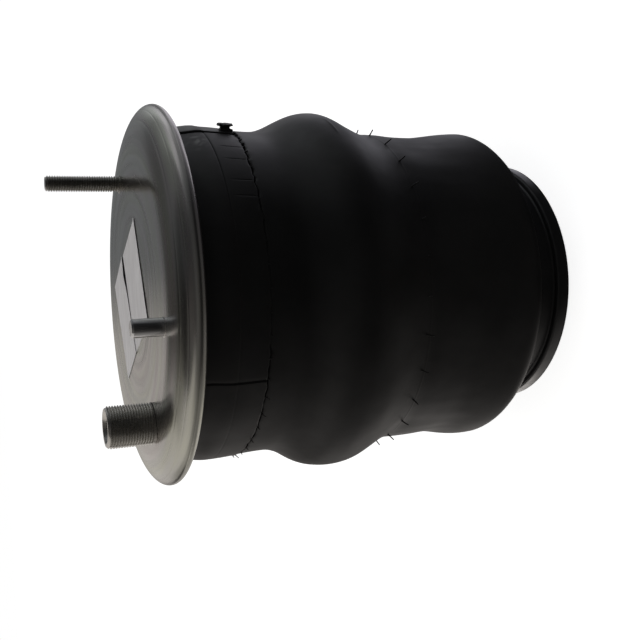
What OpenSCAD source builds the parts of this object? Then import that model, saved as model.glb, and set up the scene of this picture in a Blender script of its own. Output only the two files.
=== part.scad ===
// Rolling-lobe air suspension spring, standing on its piston with the bead plate on top.
// The origin is the centre of the piston's mounting face, and +Z runs up the spring's axis.
// Rest is the relaxed, unpressurised height, with the rolled fold of the bellows low on the piston.

/* [Bead plate] */
// Outer radius of the crimped rim
plate_r = 113; // [112.5:0.1:114.5]
// Sheet thickness of the plate
plate_t = 2.5; // [2:0.1:2.8]
// Radius at which the flat face starts to curve down
plate_flat_r = 84; // [83:0.5:86]
// Height of the plate's face above the piston's mounting face
plate_z = 256; // [255.5:0.1:256.5]
// Drop from the face to the widest circle of the rim
rim_drop = 11.5; // [11.2:0.1:11.8]
// Outer radius of the curl under the rim
curl_r = 3.8; // [3.6:0.1:4.2]
// Radius of the curled lip's edge, round the neck of the bellows
lip_r = 100.9; // [100.7:0.1:101.5]

/* [Studs and pin] */
// Distance of both studs and the pin from the axis
stud_pitch_r = 79.4; // [78:0.1:79.5]
// Direction of the mounting stud, the combination stud is opposite
stud_angle = 24.5; // [20:0.5:30]
// Thread radius of the combination stud
inlet_stud_r = 12; // [11:0.5:12]
// Length of the combination stud above the face
inlet_stud_len = 26; // [20:1:40]
// Minor radius of the thread inside the air inlet
inlet_bore_r = 7.2; // [5:0.1:7.5]
// Thread radius of the mounting stud
stud_r = 5; // [4:0.5:6]
// Length of the mounting stud above the face
stud_len = 45; // [25:1:60]
// Radius of the plain locating pin
pin_r = 5; // [4:0.5:6]
// Length of the locating pin above the face
pin_len = 17; // [10:1:25]
// Direction of the locating pin
pin_angle = 257.5; // [250:0.5:262]

/* [Bellows] */
// Thickness of the rubber and cord wall
wall_t = 3.6; // [3:0.1:3.8]
// Outer radius of the neck under the rim
neck_r = 98.7; // [98:0.1:99.2]
// Outer radius of the cuff
cuff_r = 100.4; // [99.5:0.1:101.5]
// Outer radius of the pinch under the cuff
pinch_r = 98.7; // [97:0.1:99.5]
// Outer radius of the upper bulge
bulge_r = 111.8; // [108:0.1:114]
// Outer radius of the waist
waist_r = 98.5; // [97:0.1:99.5]
// Outer radius of the rolled fold
fold_r = 101.7; // [101:0.1:102]
// Radius of the fold's turn, measured on the rubber's outside
fold_turn_r = 12.7; // [12.3:0.1:12.7]
// Height of the centre of the fold's turn
fold_z = 43.6; // [40:0.2:48]

/* [Piston] */
// Radius of the foot flange
foot_r = 80; // [78.5:0.1:82]
// Height of the foot flange
foot_h = 9; // [8:0.5:11]
// Outer radius of the wall above the flange
wall_low_r = 76; // [75.4:0.1:76]
// Outer radius of the wall under the shoulder
wall_top_r = 74; // [73:0.1:74]
// Thickness of the moulded wall
shell_t = 4.8; // [4:0.1:5.5]
// Height of the deck that carries the lower bead
deck_z = 120; // [119:0.5:121]
// Number of radial ribs on the underside
rib_count = 12; // [8:4:12]
// Thickness of a rib
rib_t = 3.5; // [3:0.1:4.5]
// Radius of the circle of threaded inserts
insert_pitch_r = 44.45; // [42:0.05:46]
// Minor radius of the inserts' thread
insert_bore_r = 5.1; // [4.2:0.1:5.3]

/* [Bumper] */
// Height of the bumper's top above the piston's mounting face
bumper_top_z = 203; // [190:0.5:203]
// Radius of the bumper's foot
bumper_foot_r = 37; // [34:0.5:40]
// Radius of the bumper's top
bumper_top_r = 26; // [22:0.5:28]

/* [Hidden] */
$fn = 96;

zinc = [0.66, 0.65, 0.61];
bare_steel = [0.72, 0.72, 0.72];
dark_steel = [0.3, 0.3, 0.31];
rubber_black = [0.06, 0.06, 0.065];
moulding_black = [0.09, 0.09, 0.09];
seal_brown = [0.2, 0.12, 0.08];

gap = 0.3;
fit = 0.05;
chamfer = 1.2;
shank_relief = 0.2;
wire_r = 1.8;

under_z = plate_z - plate_t;
rim_z = plate_z - rim_drop;
curl_x = plate_r - curl_r;
lip_z = rim_z - curl_r;
lip_top_z = lip_z + plate_t;
head_top_z = under_z - 0.6;
head_t = 4;
inlet_head_r = inlet_stud_r + 1.4;
stud_head_r = stud_r + 4;
inlet_mouth_r = inlet_bore_r + 1.8;

upper_wire_x = 103.5;
upper_wire_z = rim_z + 2.4;
upper_bead_x = curl_x - 0.8;
upper_bead_low_z = lip_top_z + gap;
neck_top_r = lip_r - 0.6;
neck_z = rim_z - 7.5;
cuff_z = 222;
pinch_z = 186;
bulge_z = 147;
waist_z = 105;
low_waist_z = 80;

shoulder_turn = 16;
shoulder_x = wall_top_r - shoulder_turn;
shoulder_z = deck_z - shoulder_turn;
sleeve_gap = 0.4;
spigot_r = 50;
spigot_z = deck_z + 7;
lower_wire_x = 54.8;
lower_wire_z = deck_z + 4.1;
lower_bead_x = spigot_r + 1;
lower_bead_top_z = deck_z + 7.9;

hub_r = 20;
bush_r = 9;
bolt_r = 6;
bolt_clearance_r = 6.3;
recess_r = 15;
recess_z = 16;
rib_low_z = 2;
ring_rib_t = 4;
boss_r = 11;
boss_h = 40;
insert_r = 7.5;
insert_h = 22;
deck_t = 8;

closure_t = 3;
closure_z = spigot_z;
closure_top_z = closure_z + closure_t;
closure_rise = 1.2;
closure_r = 62;
bolt_head_h = 7.5;
hex_r = 10.97;
washer_t = 2.5;
nut_h = 10;

hat_r = 19;
hat_t = 2;
hat_top_z = 150;
screw_r = 4;
screw_clear_r = 4.4;
screw_seat_z = bumper_top_z - 18;
screw_recess_r = 12;

// Points along an arc about (x, z), from one angle to another
function arc(x, z, r, from, to, steps = 8) =
    [for (i = [0:steps]) let (a = from + (to - from) * i / steps) [x + r * cos(a), z + r * sin(a)]];

// Points along a quarter of an ellipse that starts level at (x, z + high) and ends upright
function shoulder(x, z, wide, high, from = 0, to = 90, steps = 9) =
    [for (i = [0:steps]) let (a = from + (to - from) * i / steps) [x + wide * sin(a), z + high * cos(a)]];

// Soft step from a to b as t goes from 0 to 1
function ease(a, b, t) = a + (b - a) * (1 - cos(180 * t)) / 2;

// Points down the sleeve through its stations [z, r], moved in by depth
function sleeve(stations, depth, steps = 5) =
    [for (k = [0:len(stations) - 2], i = [(k == 0 ? 0 : 1):steps])
        let (a = stations[k], b = stations[k + 1], t = i / steps)
        [ease(a[1], b[1], t) - depth, a[0] + (b[0] - a[0]) * t]];

// The same list of points in the opposite order
function reversed(list) = [for (i = [len(list) - 1:-1:0]) list[i]];

stations = [
    [neck_z, neck_r],
    [cuff_z, cuff_r],
    [pinch_z, pinch_r],
    [bulge_z, bulge_r],
    [waist_z, waist_r],
    [low_waist_z, waist_r],
    [fold_z, fold_r]
];

// Turns a half section, given as [radius, height] points, about the axis
module turned(section) {
    rotate_extrude()
        polygon(section);
}

// Plain ring of round wire about the axis
module wire_ring(ring_r, z, r) {
    rotate_extrude()
        translate([ring_r, z])
            circle(r = r, $fn = 24);
}

// Places its children at a distance and direction from the axis
module at_polar(r, angle) {
    rotate([0, 0, angle])
        translate([r, 0, 0])
            children();
}

// Round bar along Z with a chamfered upper end
module chamfered_bar(r, low_z, high_z, edge) {
    translate([0, 0, low_z])
        cylinder(r = r, h = high_z - edge - low_z);
    translate([0, 0, high_z - edge])
        cylinder(r1 = r, r2 = r - edge, h = edge);
}

// Bar that stands on the plate's face, with a slightly thinner shank through the plate
module plate_bar(r, low_z, high_z, edge) {
    translate([0, 0, low_z])
        cylinder(r = r - shank_relief, h = plate_z - low_z);
    chamfered_bar(r, plate_z, high_z, edge);
}

// Pressed steel plate, rolled over at the rim to grip the upper bead
module bead_plate() {
    color(zinc)
    difference() {
        turned(concat(
            [[0, plate_z]],
            shoulder(plate_flat_r, rim_z, plate_r - plate_flat_r, rim_drop),
            arc(curl_x, rim_z, curl_r, 0, -90, 6),
            arc(lip_r + plate_t / 2, lip_z + plate_t / 2, plate_t / 2, -90, -270, 6),
            arc(curl_x, rim_z, curl_r - plate_t, -90, 0, 4),
            reversed(shoulder(plate_flat_r, rim_z, plate_r - plate_flat_r - plate_t, rim_drop - plate_t)),
            [[0, under_z]]
        ));
        at_polar(stud_pitch_r, stud_angle + 180)
            translate([0, 0, under_z - 1])
                cylinder(r = inlet_stud_r + fit, h = plate_t + 2);
        at_polar(stud_pitch_r, stud_angle)
            translate([0, 0, under_z - 1])
                cylinder(r = stud_r + fit, h = plate_t + 2);
        at_polar(stud_pitch_r, pin_angle)
            translate([0, 0, under_z - 1])
                cylinder(r = pin_r + fit, h = plate_t + 2);
    }
}

// Hollow stud that clamps the spring to the frame and lets the air in
module combination_stud() {
    tip_z = plate_z + inlet_stud_len;
    mouth_h = inlet_mouth_r - inlet_bore_r;
    color(zinc)
    at_polar(stud_pitch_r, stud_angle + 180)
    difference() {
        union() {
            plate_bar(inlet_stud_r, head_top_z - head_t, tip_z, chamfer);
            translate([0, 0, head_top_z - head_t])
                cylinder(r = inlet_head_r, h = head_t);
        }
        translate([0, 0, head_top_z - head_t - 1])
            cylinder(r = inlet_bore_r, h = inlet_stud_len + 20);
        translate([0, 0, tip_z - mouth_h])
            cylinder(r1 = inlet_bore_r, r2 = inlet_mouth_r + 0.1, h = mouth_h + 0.1);
    }
}

// Solid threaded stud opposite the combination stud
module mounting_stud() {
    color(zinc)
    at_polar(stud_pitch_r, stud_angle) {
        plate_bar(stud_r, head_top_z - head_t, plate_z + stud_len, 1);
        translate([0, 0, head_top_z - head_t])
            cylinder(r = stud_head_r, h = head_t);
    }
}

// Plain pin that sets which way round the spring is fitted
module locating_pin() {
    color(bare_steel)
    at_polar(stud_pitch_r, pin_angle)
        plate_bar(pin_r, under_z - 1.5, plate_z + pin_len, 1);
}

// Steel wire ring inside the bead that the plate grips
module upper_bead_wire() {
    color(dark_steel)
    wire_ring(upper_wire_x, upper_wire_z, wire_r);
}

// Rubber and cord sleeve, from the bead in the plate, down and round the rolled fold,
// up the piston's wall, over its shoulder and in to the lower bead
module bellows() {
    fold_x = fold_r - fold_turn_r;
    color(rubber_black)
    difference() {
        turned(concat(
            shoulder(plate_flat_r, rim_z, plate_r - plate_flat_r - plate_t - gap, rim_drop - plate_t - gap, 22, 66, 6),
            [[upper_bead_x, rim_z + gap], [upper_bead_x - 1.7, upper_bead_low_z]],
            [[neck_top_r + 0.7, upper_bead_low_z], [neck_top_r, upper_bead_low_z - 0.7]],
            [[neck_top_r, lip_z + 0.7], [neck_r + 0.1, neck_z + 1.5]],
            sleeve(stations, 0),
            arc(fold_x, fold_z, fold_turn_r, -15, -180, 11),
            arc(shoulder_x, shoulder_z, shoulder_turn + sleeve_gap, 0, 90, 6),
            [[lower_bead_x, deck_z + sleeve_gap], [lower_bead_x, lower_bead_top_z]],
            [[shoulder_x, lower_bead_top_z]],
            arc(shoulder_x, shoulder_z, shoulder_turn + sleeve_gap + wall_t, 75, 0, 6),
            arc(fold_x, fold_z, fold_turn_r - wall_t, -180, -15, 11),
            reversed(sleeve(stations, wall_t)),
            [[neck_top_r - wall_t, upper_bead_low_z]]
        ));
        wire_ring(upper_wire_x, upper_wire_z, wire_r + fit);
        wire_ring(lower_wire_x, lower_wire_z, wire_r + fit);
    }
}

// Steel wire ring inside the bead that is clamped on the piston
module lower_bead_wire() {
    color(dark_steel)
    wire_ring(lower_wire_x, lower_wire_z, wire_r);
}

// One upright web of the piston's underside, from the hub to the wall
module radial_rib(angle) {
    rotate([0, 0, angle])
        rotate([90, 0, 0])
            linear_extrude(height = rib_t, center = true)
                polygon([
                    [hub_r - 2, rib_low_z],
                    [wall_low_r - shell_t / 2, rib_low_z],
                    [wall_top_r - shell_t / 2, shoulder_z - 4],
                    [shoulder_x + 4, deck_z - deck_t / 2],
                    [hub_r - 2, deck_z - deck_t / 2]
                ]);
}

// Moulded piston: flanged foot, tapered wall, rounded shoulder, spigot for the bead,
// and an open underside of radial ribs, a ring rib and bosses round a hollow hub
module piston() {
    inner_low_r = wall_low_r - shell_t;
    inner_top_r = wall_top_r - shell_t;
    inner_turn = shoulder_turn - deck_t;
    spigot_inner_r = spigot_r - 5;
    color(moulding_black)
    difference() {
        union() {
            turned(concat(
                [[foot_r - 3.5 - shell_t, 0], [foot_r - 1, 0], [foot_r, 1]],
                arc(foot_r - 1.5, foot_h - 1.5, 1.5, 0, 90, 4),
                [[wall_low_r + 0.8, foot_h], [wall_low_r, foot_h + 0.8]],
                arc(shoulder_x, shoulder_z, shoulder_turn, 0, 90, 8),
                [[spigot_r, deck_z], [spigot_r, spigot_z - 1], [spigot_r - 1, spigot_z], [bush_r, spigot_z]],
                [[bush_r, recess_z], [recess_r, recess_z], [recess_r, 0], [hub_r, 0]],
                [[hub_r, spigot_z - deck_t], [spigot_inner_r, spigot_z - deck_t]],
                [[spigot_inner_r + 3, deck_z - deck_t], [inner_top_r - inner_turn, deck_z - deck_t]],
                [[inner_top_r, shoulder_z - 1], [inner_low_r, foot_h + 2]],
                [[foot_r - 3.5 - shell_t, foot_h - 1]]
            ));
            for (i = [0:rib_count - 1])
                radial_rib(360 * i / rib_count);
            turned([
                [insert_pitch_r - ring_rib_t / 2, rib_low_z],
                [insert_pitch_r + ring_rib_t / 2, rib_low_z],
                [insert_pitch_r + ring_rib_t / 2, deck_z - deck_t / 2],
                [insert_pitch_r - ring_rib_t / 2, deck_z - deck_t / 2]
            ]);
            for (i = [0:3])
                at_polar(insert_pitch_r, 90 * i)
                    cylinder(r = boss_r, h = boss_h);
        }
        for (i = [0:3])
            at_polar(insert_pitch_r, 90 * i)
                translate([0, 0, -1])
                    cylinder(r = insert_r, h = insert_h + 1);
    }
}

// Steel sleeve in the hub that takes the clamping load of the bolt
module hub_bush() {
    color(bare_steel)
    difference() {
        translate([0, 0, recess_z])
            cylinder(r = bush_r - fit, h = spigot_z - recess_z);
        translate([0, 0, recess_z - 1])
            cylinder(r = bolt_clearance_r, h = spigot_z - recess_z + 2);
    }
}

// Threaded steel inserts in the four bosses, for the axle bolts
module mounting_inserts() {
    color(bare_steel)
    for (i = [0:3])
        at_polar(insert_pitch_r, 90 * i)
            difference() {
                cylinder(r = insert_r - fit, h = insert_h);
                translate([0, 0, -1])
                    cylinder(r = insert_bore_r, h = insert_h + 2);
            }
}

// Pressed plate that clamps the lower bead and closes the air chamber
module end_closure() {
    ring_z = closure_z + closure_rise;
    color(zinc)
    turned([
        [bolt_clearance_r, closure_z],
        [spigot_r - 3, closure_z],
        [spigot_r, ring_z],
        [closure_r - 4, ring_z],
        [closure_r - 1, ring_z - 1.5],
        [closure_r + 1.5, ring_z - 0.4],
        [closure_r - 2, ring_z + closure_t],
        [spigot_r - 1, ring_z + closure_t],
        [spigot_r - 4, closure_top_z],
        [bush_r, closure_top_z],
        [bolt_clearance_r, closure_top_z - 2]
    ]);
}

// Bolt down through the closure, the hub and the recess in the foot
module piston_bolt() {
    color(zinc) {
        translate([0, 0, 2])
            cylinder(r = bolt_r, h = closure_top_z - 2);
        translate([0, 0, closure_top_z])
            cylinder(r = hex_r + 1.5, h = 2);
        translate([0, 0, closure_top_z + 2])
            cylinder(r = hex_r, h = bolt_head_h - 2, $fn = 6);
    }
}

// Rubber ring of wedge section in the chamfer under the bolt's head
module bolt_seal() {
    seal_in_r = bolt_r + fit;
    color(seal_brown)
    turned([
        [seal_in_r, closure_top_z - fit],
        [bush_r - gap, closure_top_z - fit],
        [bush_r - 0.8, closure_top_z - gap],
        [seal_in_r, closure_top_z - 1.8]
    ]);
}

// Flat washer under the lock nut
module piston_washer() {
    color(zinc)
    difference() {
        translate([0, 0, recess_z - washer_t])
            cylinder(r = recess_r - 3, h = washer_t);
        translate([0, 0, recess_z - washer_t - 1])
            cylinder(r = bolt_clearance_r, h = washer_t + 2);
    }
}

// Lock nut in the recess of the foot
module lock_nut() {
    color(zinc)
    difference() {
        translate([0, 0, recess_z - washer_t - nut_h])
            cylinder(r = hex_r, h = nut_h, $fn = 6);
        translate([0, 0, recess_z - washer_t - nut_h - 1])
            cylinder(r = bolt_r + fit, h = nut_h + 2);
    }
}

// Pressed hat over the bolt's head that carries the bumper
module bumper_seat() {
    color(zinc)
    turned([
        [hat_r - hat_t, closure_top_z],
        [bumper_foot_r - 2, closure_top_z],
        [bumper_foot_r - 2, closure_top_z + hat_t],
        [hat_r, closure_top_z + hat_t],
        [hat_r, hat_top_z - 2],
        [hat_r - 2, hat_top_z],
        [screw_clear_r, hat_top_z],
        [screw_clear_r, hat_top_z - hat_t],
        [hat_r - hat_t - 1, hat_top_z - hat_t],
        [hat_r - hat_t, hat_top_z - hat_t - 1]
    ]);
}

// Nut welded under the top of the hat
module bumper_nut() {
    nut_t = 6.5;
    color(zinc)
    difference() {
        translate([0, 0, hat_top_z - hat_t - nut_t])
            cylinder(r = 7.5, h = nut_t, $fn = 6);
        translate([0, 0, hat_top_z - hat_t - nut_t - 1])
            cylinder(r = screw_r + fit, h = nut_t + 2);
    }
}

// Jounce bumper that the plate meets at the end of the inward travel
module bumper() {
    foot_z = closure_top_z + hat_t + gap;
    body_h = bumper_top_z - foot_z;
    color(rubber_black)
    turned(concat(
        [[hat_r + gap, foot_z], [bumper_foot_r - 1, foot_z], [bumper_foot_r, foot_z + 1]],
        [[bumper_foot_r, foot_z + 0.12 * body_h]],
        [[bumper_foot_r - 5, foot_z + 0.24 * body_h], [bumper_foot_r - 3.5, foot_z + 0.4 * body_h]],
        [[bumper_foot_r - 4.5, foot_z + 0.52 * body_h], [bumper_foot_r - 8, foot_z + 0.62 * body_h]],
        [[bumper_top_r + 2.5, foot_z + 0.74 * body_h]],
        arc(bumper_top_r - 6, bumper_top_z - 6, 6, 0, 90, 5),
        [[screw_recess_r + 2, bumper_top_z], [screw_recess_r, bumper_top_z - 2]],
        [[screw_recess_r, screw_seat_z], [screw_clear_r, screw_seat_z]],
        [[screw_clear_r, hat_top_z + gap], [hat_r - 1.7, hat_top_z + gap], [hat_r + gap, hat_top_z - 1.7]]
    ));
}

// Screw that holds the bumper on its seat
module bumper_screw() {
    low_z = hat_top_z - hat_t - 7;
    head_z = screw_seat_z + 2;
    color(zinc) {
        translate([0, 0, low_z])
            cylinder(r = screw_r, h = head_z - low_z);
        translate([0, 0, head_z])
            cylinder(r = 7.5, h = 5.5, $fn = 6);
    }
}

// Washer between the screw's head and the bumper
module bumper_washer() {
    color(zinc)
    difference() {
        translate([0, 0, screw_seat_z])
            cylinder(r = screw_recess_r - 1, h = 2);
        translate([0, 0, screw_seat_z - 1])
            cylinder(r = screw_clear_r, h = 4);
    }
}

bead_plate();
combination_stud();
mounting_stud();
locating_pin();
upper_bead_wire();
bellows();
lower_bead_wire();
piston();
hub_bush();
mounting_inserts();
end_closure();
piston_bolt();
bolt_seal();
piston_washer();
lock_nut();
bumper_seat();
bumper_nut();
bumper();
bumper_screw();
bumper_washer();
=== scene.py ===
import math
import random

import bmesh
import bpy
from mathutils import Matrix, Vector, noise


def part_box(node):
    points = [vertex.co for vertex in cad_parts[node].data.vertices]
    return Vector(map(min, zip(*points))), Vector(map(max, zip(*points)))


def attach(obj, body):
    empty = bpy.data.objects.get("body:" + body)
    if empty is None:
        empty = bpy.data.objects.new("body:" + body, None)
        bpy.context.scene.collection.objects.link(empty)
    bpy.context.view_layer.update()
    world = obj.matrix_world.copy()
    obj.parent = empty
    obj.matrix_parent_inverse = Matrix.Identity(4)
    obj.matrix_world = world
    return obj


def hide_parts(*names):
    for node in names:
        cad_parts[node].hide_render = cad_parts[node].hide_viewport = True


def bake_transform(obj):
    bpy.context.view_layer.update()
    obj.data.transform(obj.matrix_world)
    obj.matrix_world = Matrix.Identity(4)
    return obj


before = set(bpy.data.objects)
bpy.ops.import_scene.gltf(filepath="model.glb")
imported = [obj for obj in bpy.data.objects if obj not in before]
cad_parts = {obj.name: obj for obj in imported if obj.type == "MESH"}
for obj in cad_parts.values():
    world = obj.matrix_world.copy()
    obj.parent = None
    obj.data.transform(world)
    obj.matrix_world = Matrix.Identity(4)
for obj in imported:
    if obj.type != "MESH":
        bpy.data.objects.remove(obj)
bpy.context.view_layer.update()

# Every length is in metres, and the spring stands on its piston with its axis along Z.
MM = 0.001
TURN = 2 * math.pi
random.seed(7)

# Bead plate and the studs on it
PLATE_HIGH = Vector(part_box("bead_plate")[1])
PLATE_Z = PLATE_HIGH.z
PLATE_R = PLATE_HIGH.x
PLATE_T = 2.5 * MM
FLAT_R = 84 * MM
RIM_Z = PLATE_Z - 11.5 * MM
CURL_R = 3.8 * MM
LIP_R = 100.9 * MM
UNDER_Z = PLATE_Z - PLATE_T
RING_MARKS = (103.3 * MM, 109.3 * MM)
THREAD_PITCH = 1.5 * MM

# Bellows: round neck under the plate, (height, outer radius) stations down the sleeve, rolled fold
WALL = 3.6 * MM
NECK_R = 100.3 * MM
NECK_TOP = 0.237
FOLD_Z = 0.0436
FOLD_R = 0.1017
STATIONS = [(NECK_TOP, 0.0987), (0.222, 0.1004), (0.186, 0.0987), (0.147, 0.1118),
            (0.105, 0.0985), (0.080, 0.0985), (FOLD_Z, FOLD_R)]
FOLD_TURN = 0.0127
FOLD_X = FOLD_R - FOLD_TURN

# Marks round the sleeve: the seam and how far its wander reaches, the band of painted shade at the plate's
# lip, lines at their heights, and the fold line, a low ridge with a painted highlight, at its angle and
# radius on the fold
SEAM_Z = 0.204
SEAM_REACH = 7 * MM
LIP_SHADE_Z = (0.2352, 0.2366)
LAP_Z = 0.2205
NIB_Z = 0.109
STREAK_Z = 0.148
FOLD_LINE = -44
FOLD_LINE_R = FOLD_TURN + 0.1 * MM

# Directions of the marks that run down the cuff and of the most worn side, where the fold line's painted
# highlight is brightest, in degrees from +X
TOP_SPLICE = -24.5
LOW_SPLICE = -119.2
SCORES = (-37, -44.5, -54.2, -60.4)
WORN_AND_HIGHLIGHT_SIDE = -38

# Inner leg of the bellows: its shoulder on the piston's deck and its clamped bead
SHOULDER_X = 0.058
SHOULDER_Z = 0.104
SHOULDER_R = 0.0164
BEAD_X = 0.051
BEAD_TOP = 0.1279

# Camera of the photograph: a 640 x 640 frame, rolled so that the plate lies on its left
CAMERA_AT = (-0.00765, -0.52596, 0.3514)
CAMERA_FORWARD = Vector((-0.0217, 0.9258, -0.3775)).normalized()
CAMERA_UP = Vector((0.99868, 0.00197, -0.0527))
LENS = 49.12
SENSOR = 36

# Room that the object mirrors: (radius, height) corners out along the ground, up the wall and in
# along the ceiling, and the tints of its greys
ROOM = [(0.0803, 0.001), (0.085, 0.001), (0.097, 0.001), (0.115, 0.001), (0.40, 0.001), (1.10, 0.001),
        (1.7, 0.001), (1.7, 0.30), (1.7, 0.79), (1.7, 1.6), (0.90, 1.6), (0.01, 1.6)]
COOL = (0.97, 1.0, 1.04)
BLUISH = (0.98, 0.97, 1.07)
WARM = (1.05, 0.995, 0.95)


# Small helpers

def rad(degrees):
    return math.radians(degrees)


def smooth(low, high, value):
    t = min(max((value - low) / (high - low), 0), 1)
    return t * t * (3 - 2 * t)


def bell(value, width):
    return math.exp(-(value / width) ** 2)


def turned_degrees(a, b):
    """Signed turn from direction b to direction a, between -180 and 180."""
    return (a - b + 180) % 360 - 180


def heading(angle):
    return Vector((math.cos(rad(angle)), math.sin(rad(angle)), 0))


def round_noise(a, scale, level):
    """Noise that meets itself round the axis, in the direction a in radians."""
    return noise.noise(Vector((scale * math.cos(a), scale * math.sin(a), level)))


def arc(x, z, r, start, end, steps):
    return [(x + r * math.cos(rad(start + (end - start) * i / steps)),
             z + r * math.sin(rad(start + (end - start) * i / steps))) for i in range(steps + 1)]


def quarter(x, z, wide, high, start, end, steps):
    """Points along a quarter of an ellipse, which is level on top at 0 degrees and upright at 90."""
    return [(x + wide * math.sin(rad(start + (end - start) * i / steps)),
             z + high * math.cos(rad(start + (end - start) * i / steps))) for i in range(steps + 1)]


def centre_of(node):
    """Centre, low corner and high corner of a node's box."""
    low, high = (Vector(c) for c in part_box(node))
    return (low + high) / 2, low, high


# Meshes

def finish_mesh(name, mesh, material, sharp=35):
    """Object from a bmesh, shaded smooth up to the angle sharp."""
    data = bpy.data.meshes.new(name)
    mesh.to_mesh(data)
    mesh.free()
    data.shade_smooth()
    data.set_sharp_from_angle(angle=rad(sharp))
    data.materials.append(material)
    obj = bpy.data.objects.new(name, data)
    bpy.context.scene.collection.objects.link(obj)
    return obj


def grid_object(name, rows, material, close_rows, sharp, at=(0, 0)):
    """Skin over rows of points. Equal points are merged, so that the last column meets the first."""
    mesh = bmesh.new()
    made = [[mesh.verts.new((p[0] + at[0], p[1] + at[1], p[2])) for p in row] for row in rows]
    if close_rows:
        made.append(made[0])
    for upper, lower in zip(made, made[1:]):
        for i in range(len(upper) - 1):
            mesh.faces.new((upper[i], lower[i], lower[i + 1], upper[i + 1]))
    bmesh.ops.remove_doubles(mesh, verts=mesh.verts, dist=2e-6)
    bmesh.ops.dissolve_degenerate(mesh, edges=mesh.edges, dist=1e-6)
    bmesh.ops.recalc_face_normals(mesh, faces=mesh.faces)
    return finish_mesh(name, mesh, material, sharp)


def ring_row(r, z, columns):
    turns = [TURN * i / columns for i in range(columns + 1)]
    return [(r * math.cos(a), r * math.sin(a), z) for a in turns]


def lathe(name, profile, material, columns=192, closed=True, sharp=35):
    return grid_object(name, [ring_row(r, z, columns) for r, z in profile], material, closed, sharp)


def helix_rows(r, depth, high, low, columns, edge=0.0):
    """Rows of a screw thread from high down to low. Depth is negative for an inside thread."""
    shape = [(0, 0), (0.125, 0), (0.4375, depth), (0.6875, depth)]
    turns = int((high - low) / THREAD_PITCH) + 2
    rows = []
    for turn in range(turns):
        for share, cut in shape:
            row = []
            for i in range(columns + 1):
                z = high + THREAD_PITCH - (turn + share + i / columns) * THREAD_PITCH
                z_in = min(max(z, low), high)
                radius = r - cut
                if depth > 0:
                    radius = min(radius, r - edge + (high - z_in))
                if z <= low:
                    radius = r - depth
                if z >= high:
                    radius = r - edge if depth > 0 else r
                a = TURN * i / columns
                row.append((radius * math.cos(a), radius * math.sin(a), z_in))
            rows.append(row)
    return rows


# Materials

class Nodes:
    """Node tree of a material or the world, emptied first unless it keeps what it has."""

    def __init__(self, owner, keep=False):
        owner.use_nodes = True
        self.tree = owner.node_tree
        if not keep:
            self.tree.nodes.clear()

    def node(self, kind, **values):
        """New node, with its inputs and settings by name."""
        made = self.tree.nodes.new(kind)
        for key, value in values.items():
            if key in made.inputs:
                made.inputs[key].default_value = value
            else:
                setattr(made, key, value)
        return made

    def link(self, a, b):
        self.tree.links.new(a, b)

    def ramp(self, value, stops):
        made = self.node("ShaderNodeValToRGB")
        elements = made.color_ramp.elements
        while len(elements) < len(stops):
            elements.new(0.5)
        for element, (place, colour) in zip(elements, stops):
            element.position = place
            element.color = (*colour, 1)
        self.link(value, made.inputs["Fac"])
        return made.outputs["Color"]

    def spread(self, value, low, high, start=0.35, end=0.65):
        """A value between low and high, as the given one goes from start to end."""
        made = self.node("ShaderNodeMapRange")
        made.inputs["From Min"].default_value = start
        made.inputs["From Max"].default_value = end
        made.inputs["To Min"].default_value = low
        made.inputs["To Max"].default_value = high
        self.link(value, made.inputs["Value"])
        return made.outputs["Result"]


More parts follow.
